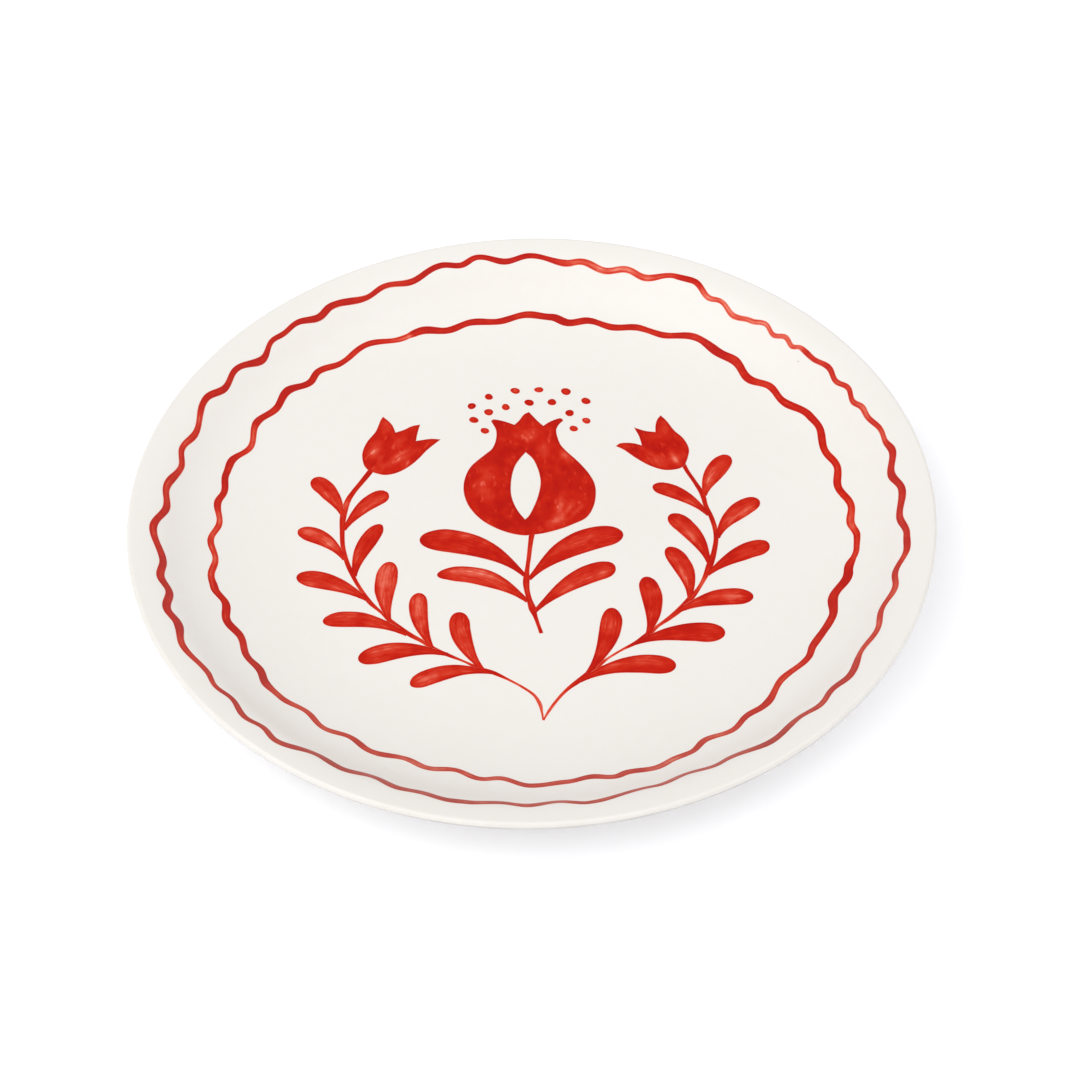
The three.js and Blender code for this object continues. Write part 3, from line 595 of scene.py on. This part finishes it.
def inside(points, loop):
    result = np.zeros(len(points), bool)
    for a, b in zip(loop, np.roll(loop, -1, 0)):
        crosses = (a[1] > points[:, 1]) != (b[1] > points[:, 1])
        if a[1] == b[1]:
            continue
        x = a[0] + (b[0] - a[0]) * (points[:, 1] - a[1]) / (b[1] - a[1])
        result ^= crosses & (points[:, 0] < x)
    return result


def patch(name, outline, holes=(), grid=1.0, axis=(0, 1), load=0.8, dabs=()):
    """A filled area of colour, brushed along axis.

    dabs are paler or darker places: (x, y, long, short, degrees, change).
    """
    loops = [outline, *holes]
    everything = np.concatenate(loops)
    low, high = outline.min(0), outline.max(0)
    gx, gy = np.meshgrid(np.arange(low[0], high[0], grid), np.arange(low[1], high[1], grid * 0.866))
    gx = gx + (np.arange(gx.shape[0]) % 2)[:, None] * grid / 2
    seeds = np.stack([gx.ravel(), gy.ravel()], -1)
    inner = []
    for inset in (0.3, 0.7):
        for k, loop in enumerate(loops):
            tangent = np.roll(loop, -1, 0) - np.roll(loop, 1, 0)
            tangent /= np.linalg.norm(tangent, axis=1)[:, None]
            normal = np.stack([-tangent[:, 1], tangent[:, 0]], -1)
            inner.append((loop + normal * inset, inset))
            inner.append((loop - normal * inset, inset))

    def clearance(points):
        return np.min([edge_distance(points, loop) for loop in loops], axis=0)

    def covered(points):
        keep = inside(points, outline)
        for hole in holes:
            keep &= ~inside(points, hole)
        return keep

    kept = [seeds[covered(seeds) & (clearance(seeds) > 1.1)]]
    for points, inset in inner:
        kept.append(points[covered(points) & (clearance(points) > inset * 0.97)])
    extra = np.concatenate(kept)
    flat = np.concatenate([everything, extra])
    edges, first = [], 0
    for loop in loops:
        n = len(loop)
        edges += [(first + k, first + (k + 1) % n) for k in range(n)]
        first += n
    points, _, triangles, *_ = delaunay_2d_cdt([Vector(p) for p in flat], edges, [], 0, 1e-5)
    xy = np.array([tuple(p) for p in points])
    triangles = np.array([t for t in triangles if len(t) == 3])
    middle = xy[triangles].mean(1)
    triangles = triangles[covered(middle)]
    corner, second, third = (xy[triangles[:, k]] for k in range(3))
    turn = np.cross(second - corner, third - corner)
    triangles[turn < 0] = triangles[turn < 0][:, ::-1]
    used = np.unique(triangles)
    renumber = np.full(len(xy), -1)
    renumber[used] = np.arange(len(used))
    xy, triangles = xy[used], renumber[triangles]
    edge = clearance(xy)
    base = surface_height(xy[:, 0], xy[:, 1])
    dome = PAINT_RELIEF * smoothstep(0, 1.2, edge)
    top = np.column_stack([xy, base + PAINT_EDGE_LIFT + FILL_LIFT + dome])
    bottom = np.column_stack([xy, base - PAINT_SINK])
    count = len(xy)
    sides = set()
    for t in triangles:
        for a, b in ((t[0], t[1]), (t[1], t[2]), (t[2], t[0])):
            if (b, a) in sides:
                sides.remove((b, a))
            else:
                sides.add((a, b))
    faces = [tuple(t) for t in triangles] + [tuple(t[::-1] + count) for t in triangles]
    faces += [(a, a + count, b + count, b) for a, b in sorted(sides)]
    axis = np.array(axis, float) / np.linalg.norm(axis)
    tone = np.full(count, float(load))
    for x, y, long_side, short_side, degrees, change in dabs:
        c, s = math.cos(math.radians(degrees)), math.sin(math.radians(degrees))
        dx, dy = xy[:, 0] - x, xy[:, 1] - y
        spread = ((dx * c + dy * s) / long_side) ** 2 + ((dy * c - dx * s) / short_side) ** 2
        tone += change * np.exp(-spread)
    # The broad brush that fills an area leaves wider marks than the one that draws a leaf.
    values = {"edge": edge, "load": tone, "along": 1.3 * xy @ axis,
              "across": 0.2 * xy @ np.array([axis[1], -axis[0]]), "dull_and_shaded": np.zeros(count)}
    values = {key: np.concatenate([v, v]) for key, v in values.items()}
    return make_object(name, np.concatenate([top, bottom]), faces, values)


def seed(name, x, y, length, breadth, degrees):
    angle = np.linspace(0, 2 * np.pi, 40, endpoint=False)
    rough = 1 + 0.035 * np.sin(2 * angle + rng.uniform(0, 6))
    rough = rough + 0.025 * np.sin(3 * angle + rng.uniform(0, 6))
    px, py = length / 2 * rough * np.cos(angle), breadth / 2 * rough * np.sin(angle)
    c, s = math.cos(math.radians(degrees)), math.sin(math.radians(degrees))
    loop = np.stack([x + px * c - py * s, y + px * s + py * c], -1)
    return patch(name, loop, grid=0.7, load=0.68 + rng.normal(0, 0.06))


# ---- Materials -------------------------------------------------------------------------------


class Nodes:
    """A small helper that adds and joins the nodes of one material or world."""

    def __init__(self, owner):
        owner.use_nodes = True
        self.owner = owner
        self.tree = owner.node_tree
        self.shader = self.tree.nodes.get("Principled BSDF")

    def add(self, kind, inputs=None, **settings):
        node = self.tree.nodes.new(kind)
        for key, value in settings.items():
            setattr(node, key, value)
        for key, value in (inputs or {}).items():
            self.plug(node.inputs[key], value)
        return node

    def plug(self, socket, value):
        if isinstance(value, bpy.types.NodeSocket):
            self.tree.links.new(value, socket)
        else:
            socket.default_value = value

    def math(self, operation, a, b, clamp=False):
        node = self.add("ShaderNodeMath", {0: a, 1: b}, operation=operation, use_clamp=clamp)
        return node.outputs[0]

    def between(self, value, low, high, to_low=0.0, to_high=1.0, kind="SMOOTHSTEP"):
        inputs = {"Value": value, "From Min": low, "From Max": high,
                  "To Min": to_low, "To Max": to_high}
        return self.add("ShaderNodeMapRange", inputs, interpolation_type=kind).outputs[0]

    def noise(self, vector, scale, detail=2.0, roughness=0.5):
        inputs = {"Vector": vector, "Scale": scale, "Detail": detail, "Roughness": roughness}
        return self.add("ShaderNodeTexNoise", inputs).outputs["Fac"]

    def position(self):
        return self.add("ShaderNodeTexCoord").outputs["Object"]

    def stretched(self, along, across, seed=0.0):
        return self.add("ShaderNodeCombineXYZ", {0: along, 1: across, 2: seed}).outputs[0]

    def ramp(self, value, stops):
        node = self.add("ShaderNodeValToRGB", {"Fac": value})
        elements = node.color_ramp.elements
        while len(elements) < len(stops):
            elements.new(0.5)
        for element, (at, colour) in zip(elements, stops):
            element.position = at
            element.color = (*colour, 1)
        return node.outputs["Color"]

    def mix(self, factor, a, b):
        node = self.add("ShaderNodeMix", data_type="RGBA")
        self.plug(node.inputs[0], factor)
        self.plug(node.inputs[6], (*a, 1) if isinstance(a, tuple) else a)
        self.plug(node.inputs[7], (*b, 1) if isinstance(b, tuple) else b)
        return node.outputs[2]

    def bump(self, height, strength, distance):
        inputs = {"Height": height, "Strength": strength, "Distance": distance}
        node = self.add("ShaderNodeBump", inputs)
        self.tree.links.new(node.outputs["Normal"], self.shader.inputs["Normal"])


def glaze_material():
    n = Nodes(bpy.data.materials.new("white_glaze"))
    place = n.position()
    cloud = n.noise(place, 16, 1)
    cloud = n.between(cloud, 0.2, 0.8)
    fine = n.noise(place, 200, 2)
    colour = n.mix(cloud, (0.808, 0.777, 0.736), (0.817, 0.788, 0.75))
    colour = n.mix(n.between(fine, 0.3, 0.75, 0.0, 0.3), colour, (0.832, 0.808, 0.775))
    split = n.add("ShaderNodeSeparateXYZ", {0: place})
    flat = n.add("ShaderNodeCombineXYZ", {0: split.outputs[0], 1: split.outputs[1]})
    radius = n.add("ShaderNodeVectorMath", {0: flat.outputs[0]}, operation="LENGTH")
    radius = radius.outputs["Value"]
    # The glaze breaks thin over the lip and lets the clay warm it.
    lip = n.between(radius, 0.1486, 0.1496)
    lip = n.math("MULTIPLY", lip, n.between(n.noise(place, 90, 2), 0.3, 0.7, 0.15, 0.4))
    colour = n.mix(lip, colour, (0.72, 0.67, 0.62))
    # Painted shade: a grey line along the lip's lower outer face, darkening it where it looks down
    # into the shadow on the floor.
    painted_shade_below_lip = n.between(split.outputs[2], 0.0248, 0.0257, 1.0, 0.0)
    line = n.math("MULTIPLY", n.between(radius, 0.1491, 0.1496), painted_shade_below_lip)
    line = n.math("MULTIPLY", line, n.between(n.noise(place, 60, 2), 0.3, 0.7, 0.55, 0.8))
    colour = n.mix(line, colour, (0.50, 0.48, 0.47))
    # A few iron specks burnt through from the clay.
    cells = n.add("ShaderNodeTexVoronoi", {"Vector": place, "Scale": 95.0}, feature="F1")
    chosen = n.add("ShaderNodeSeparateColor", {0: cells.outputs["Color"]})
    rare = n.math("GREATER_THAN", chosen.outputs[0], 0.98)
    dot = n.between(cells.outputs["Distance"], 0.02, 0.05, 1.0, 0.0)
    speck = n.math("MULTIPLY", n.math("MULTIPLY", rare, dot), 0.35)
    colour = n.mix(speck, colour, (0.22, 0.17, 0.13))
    n.plug(n.shader.inputs["Base Color"], colour)
    rough = n.between(n.noise(place, 60, 3), 0.3, 0.7, 0.285, 0.33)
    n.plug(n.shader.inputs["Roughness"], rough)
    n.shader.inputs["Specular IOR Level"].default_value = 0.38
    peel = n.noise(place, 240, 0)
    swell = n.noise(place, 38, 1)
    height = n.math("ADD", n.math("MULTIPLY", peel, 0.06), swell)
    n.bump(height, 0.15, 0.0002)
    return n.owner


def clay_material():
    n = Nodes(bpy.data.materials.new("bare_clay"))
    place = n.position()
    grain = n.noise(place, 900, 4, 0.6)
    patchy = n.noise(place, 35, 3)
    colour = n.mix(n.between(patchy, 0.3, 0.7), (0.62, 0.49, 0.36), (0.70, 0.58, 0.45))
    colour = n.mix(n.between(grain, 0.35, 0.8, 0.0, 0.5), colour, (0.46, 0.34, 0.24))
    n.plug(n.shader.inputs["Base Color"], colour)
    n.plug(n.shader.inputs["Roughness"], n.between(grain, 0.3, 0.7, 0.75, 0.92))
    n.shader.inputs["Specular IOR Level"].default_value = 0.3
    n.bump(grain, 0.5, 0.00015)
    return n.owner


def paint_material():
    n = Nodes(bpy.data.materials.new("red_brush_colour"))
    place = n.position()

    def attribute(name):
        return n.add("ShaderNodeAttribute", attribute_name=name).outputs["Fac"]

    along, across = attribute("along"), attribute("across")
    edge, load = attribute("edge"), attribute("load")
    # Hairs of the brush leave streaks along the stroke.
    broad = n.stretched(n.math("MULTIPLY", along, 0.09), n.math("MULTIPLY", across, 1.1))
    streak = n.noise(broad, 1.0, 3, 0.55)
    hairs = n.stretched(n.math("MULTIPLY", along, 0.16), n.math("MULTIPLY", across, 2.3), 7.0)
    dry = n.between(n.noise(hairs, 1.0, 1), 0.6, 0.72, 0.0, 0.26)
    dry = n.math("MULTIPLY", dry, n.between(edge, 0.6, 1.2))
    blotch = n.noise(place, 130, 2)
    pool = n.noise(place, 330, 1)
    tone = n.math("ADD", load, n.between(streak, 0.25, 0.75, -0.13, 0.13))
    tone = n.math("ADD", tone, n.between(blotch, 0.3, 0.7, -0.12, 0.12))
    tone = n.math("ADD", tone, n.between(pool, 0.3, 0.7, -0.04, 0.04))
    tone = n.math("SUBTRACT", tone, dry)
    # Colour gathers in a rim just inside the edge of a thin wash.
    rim = n.between(edge, 0.4, 0.95, 0.22, 0.0)
    rim = n.math("MULTIPLY", n.between(edge, 0.12, 0.4), rim)
    tone = n.math("ADD", tone, rim, clamp=True)
    colour = n.ramp(tone, [
        (0.0, (0.86, 0.36, 0.27)), (0.25, (0.74, 0.13, 0.08)), (0.5, (0.62, 0.038, 0.016)),
        (0.75, (0.54, 0.013, 0.003)), (1.0, (0.45, 0.006, 0.002))])
    # The very edge is thin enough to let the glaze through.
    thin = n.math("ADD", edge, n.between(blotch, 0.3, 0.7, -0.08, 0.08))
    thin = n.between(thin, 0.0, 0.26, 0.45, 0.0)
    colour = n.mix(thin, colour, (0.82, 0.36, 0.26))
    # Darker and browner by the dull attribute: partly a duller fired red, partly painted shade on
    # the near side of the bands.
    colour = n.mix(attribute("dull_and_shaded"), colour, (0.27, 0.15, 0.13))
    n.plug(n.shader.inputs["Base Color"], colour)
    n.plug(n.shader.inputs["Roughness"], n.between(blotch, 0.3, 0.7, 0.285, 0.34))
    n.shader.inputs["Specular IOR Level"].default_value = 0.12
    n.bump(streak, 0.2, 0.0001)
    return n.owner


def floor_material():
    n = Nodes(bpy.data.materials.new("studio_floor"))
    place = n.position()
    tint = n.mix(n.noise(place, 6, 2), (0.925, 0.93, 0.95), (0.93, 0.935, 0.96))
    n.plug(n.shader.inputs["Base Color"], tint)
    n.shader.inputs["Emission Color"].default_value = (0.95, 0.96, 1, 1)
    n.shader.inputs["Emission Strength"].default_value = FLOOR_GLOW
    n.shader.inputs["Roughness"].default_value = 1.0
    n.shader.inputs["Specular IOR Level"].default_value = 0.0
    return n.owner


# ---- The plate -------------------------------------------------------------------------------

GLAZE = glaze_material()
CLAY = clay_material()
PAINT = paint_material()


def settle(obj, node, material):
    obj.data.materials.append(material)
    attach(obj, "root")
    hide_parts(node)
    return obj


settle(revolve("plate_body_thrown", body_profile()), "plate_body", CLAY)
settle(revolve("glaze_coat_poured", glaze_coat_profile()), "glaze_coat", GLAZE)
settle(revolve("base_glaze_poured", base_glaze_profile()), "base_glaze", GLAZE)


def painted(obj, node):
    return settle(obj, node, PAINT)


painted(band("outer_wavy_line", OUTER_BAND, OUTER_STROKE_AND_HIGHLIGHT, OUTER_DULLNESS_AND_SHADE), "outer_wavy_band")
painted(band("inner_wavy_line", INNER_BAND, INNER_STROKE, INNER_DULLNESS_AND_SHADE), "inner_wavy_band")

fruit_dabs = [
    (-16, 34, 7, 2.5, 85, -0.3), (-17, 23, 6, 2, 100, -0.25), (5, 48, 5, 2, 100, -0.3),
    (11, 20, 9, 1.6, 80, -0.35), (13, 46, 4, 2.5, 110, -0.35), (9, 11, 5, 2.5, 20, -0.35),
    (14, 17, 4, 1.2, 60, -0.4), (17, 16, 4, 1, 55, -0.4), (20, 26, 8, 2, 80, -0.2),
    (-1, 58, 5, 4, 0, -0.2), (13, 38, 6, 2.5, 90, 0.2), (-14, 14, 10, 3, 140, 0.15)]
fruit = outline_of(POMEGRANATE)
window = outline_of(POMEGRANATE_WINDOW)
painted(patch("pomegranate_painted", fruit, [window], load=0.85, dabs=fruit_dabs), "pomegranate")

left_dabs = [
    (-61, 49, 4, 2, 70, -0.3), (-57.5, 46, 5, 1.6, 70, -0.25), (-50, 48.5, 5, 1, 40, -0.45),
    (-51, 45, 5, 1, 35, -0.3), (-44, 50.5, 2, 1, 30, -0.35), (-55, 63, 4, 2, 100, -0.2)]
painted(patch("tulip_left_painted", outline_of(TULIP_LEFT), axis=(0.45, 0.9), load=0.8,
              dabs=left_dabs), "tulip_left")
right_dabs = [
    (56, 42, 5, 1.3, 115, -0.5), (48, 43, 4, 2, 120, -0.25), (52, 60, 5, 2, 95, -0.2),
    (44, 48, 5, 1, 140, -0.25)]
painted(patch("tulip_right_painted", outline_of(TULIP_RIGHT), axis=(-0.45, 0.9), load=0.85,
              dabs=right_dabs), "tulip_right")

for node, rows in STEMS.items():
    painted(stem(node + "_painted", rows), node)
for node, shape in LEAVES.items():
    painted(leaf(node + "_painted", *shape), node)
for number, shape in enumerate(SEEDS, 1):
    painted(seed(f"seed_{number:02d}_painted", *shape), f"seed_{number:02d}")

# ---- Studio ----------------------------------------------------------------------------------
ticks = np.linspace(-FLOOR_HALF, FLOOR_HALF, FLOOR_STEPS + 1)
floor_verts = [(x, y, FLOOR_DROP) for y in ticks for x in ticks]
row = FLOOR_STEPS + 1
floor_faces = [(j * row + i, j * row + i + 1, (j + 1) * row + i + 1, (j + 1) * row + i)
               for j in range(FLOOR_STEPS) for i in range(FLOOR_STEPS)]
floor = make_object("studio_floor", floor_verts, floor_faces)
floor.data.materials.append(floor_material())

# Light: one large soft lamp from above and to the left.
lamp = bpy.data.lights.new("key_softbox", "AREA")
lamp.shape = "SQUARE"
lamp.size = KEY_SIZE
lamp.energy = KEY_WATTS
key = bpy.data.objects.new("key_softbox", lamp)
bpy.context.scene.collection.objects.link(key)
key.location = KEY_DIRECTION.normalized() * KEY_DISTANCE
key.rotation_euler = (LIT_POINT - key.location).to_track_quat("-Z", "Y").to_euler()

# The room is brightest overhead, and has a dim patch high up behind the plate.
world = bpy.data.worlds.new("studio_white")
bpy.context.scene.world = world
room = Nodes(world)
background = room.tree.nodes["Background"]
background.inputs["Color"].default_value = (1, 1, 1, 1)
looking = room.add("ShaderNodeTexCoord").outputs["Generated"]
height = room.add("ShaderNodeSeparateXYZ", {0: looking}).outputs["Z"]
wall_light = room.between(height, 0.0, 1.0, HORIZON, OVERHEAD, "LINEAR")
towards = room.add("ShaderNodeVectorMath", {0: looking, 1: DIM_PATCH}, operation="DOT_PRODUCT")
dim = room.between(towards.outputs["Value"], *DIM_PATCH_FADE, 1.0, DIM_PATCH_SHARE, "LINEAR")
room.plug(background.inputs["Strength"], room.math("MULTIPLY", wall_light, dim))

# Camera: a long lens from in front, looking down at the plate.
right = Vector((1, 0, 0))
up = Vector((0, math.sin(ELEVATION), math.cos(ELEVATION)))
back = Vector((0, -math.cos(ELEVATION), math.sin(ELEVATION)))
camera_right = right * math.cos(ROLL) - up * math.sin(ROLL)
camera_up = right * math.sin(ROLL) + up * math.cos(ROLL)
place = CAMERA_AIM + back * CAMERA_DISTANCE
camera_data = bpy.data.cameras.new("studio_camera")
camera_data.lens = LENS
camera_data.sensor_width = SENSOR_WIDTH
camera = bpy.data.objects.new("studio_camera", camera_data)
bpy.context.scene.collection.objects.link(camera)
camera.matrix_world = Matrix((
    (camera_right.x, camera_up.x, back.x, place.x),
    (camera_right.y, camera_up.y, back.y, place.y),
    (camera_right.z, camera_up.z, back.z, place.z),
    (0, 0, 0, 1)))
bpy.context.scene.camera = camera
bpy.context.scene.view_settings.view_transform = "Standard"
bpy.context.scene.view_settings.look = "None"
